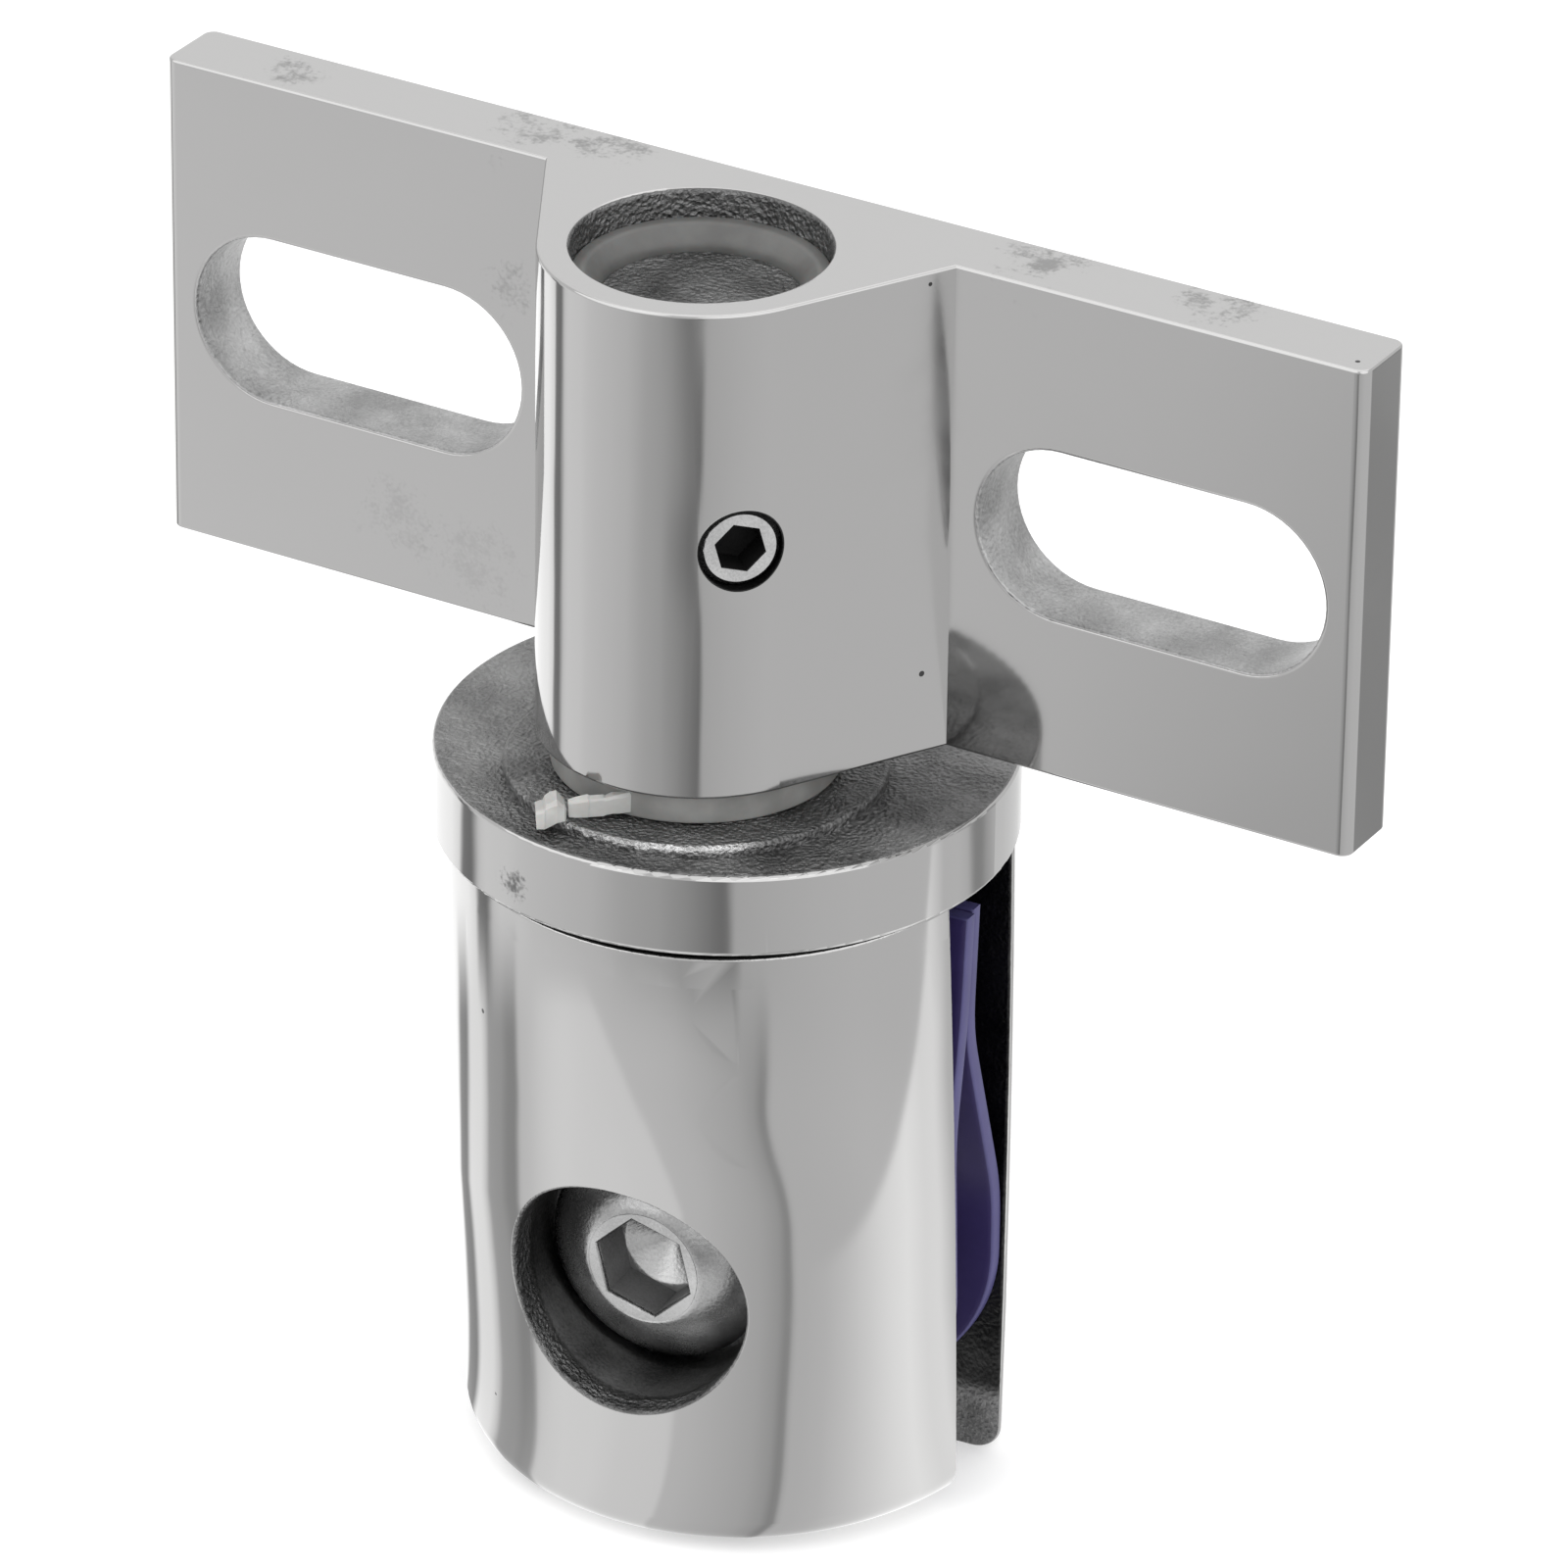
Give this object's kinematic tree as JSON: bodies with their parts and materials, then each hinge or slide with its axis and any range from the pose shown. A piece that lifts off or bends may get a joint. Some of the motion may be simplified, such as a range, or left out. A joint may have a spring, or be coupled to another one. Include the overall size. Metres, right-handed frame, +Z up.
{
  "type": "glass door hinge",
  "caption": "Pivoting glass door hinge: a polished wall plate with a round boss, and a two-jaw glass clamp on a pin that turns in a nylon bush.",
  "frame": {"origin": "centre of the wall plate's back face, in the plane of the wall", "axes": "+Y into the wall, +Z up along the pivot axis, +X along the plate, to the right as seen from the room"},
  "size_m": [0.117, 0.0506, 0.1186],
  "materials": {
    "polished_steel": "polished",
    "clamp_casting": "polished",
    "screw_steel": "satin",
    "nylon": "matte",
    "pad_rubber": "satin"
  },
  "bodies": {
    "bracket": {"wall_bracket": "polished_steel", "pivot_bush": "nylon", "set_screw": "screw_steel"},
    "clamp": {"pivot_body": "clamp_casting", "rear_pad": "pad_rubber"},
    "jaw": {"front_jaw": "clamp_casting", "front_pad": "pad_rubber"},
    "screw": {"clamp_screw": "screw_steel"}
  },
  "joints": [
    {"name": "pivot_turn", "type": "hinge", "parent": "bracket", "child": "clamp", "pos_m": [0, -0.0149, 0], "axis": [0, 0, 1], "continuous": true},
    {"name": "jaw_slide", "type": "slide", "parent": "clamp", "child": "jaw", "axis": [-0.0854, 0.9963, 0], "range_m": [-0.004, 0]},
    {"name": "screw_turn", "type": "hinge", "parent": "jaw", "child": "screw", "pos_m": [0.00046, -0.02028, -0.071], "axis": [-0.0854, 0.9963, 0], "range_deg": [-823, 0]}
  ],
  "couplings": [
    {"joint": "screw_turn", "follows": "jaw_slide", "rad_per_m": 3590.4}
  ]
}
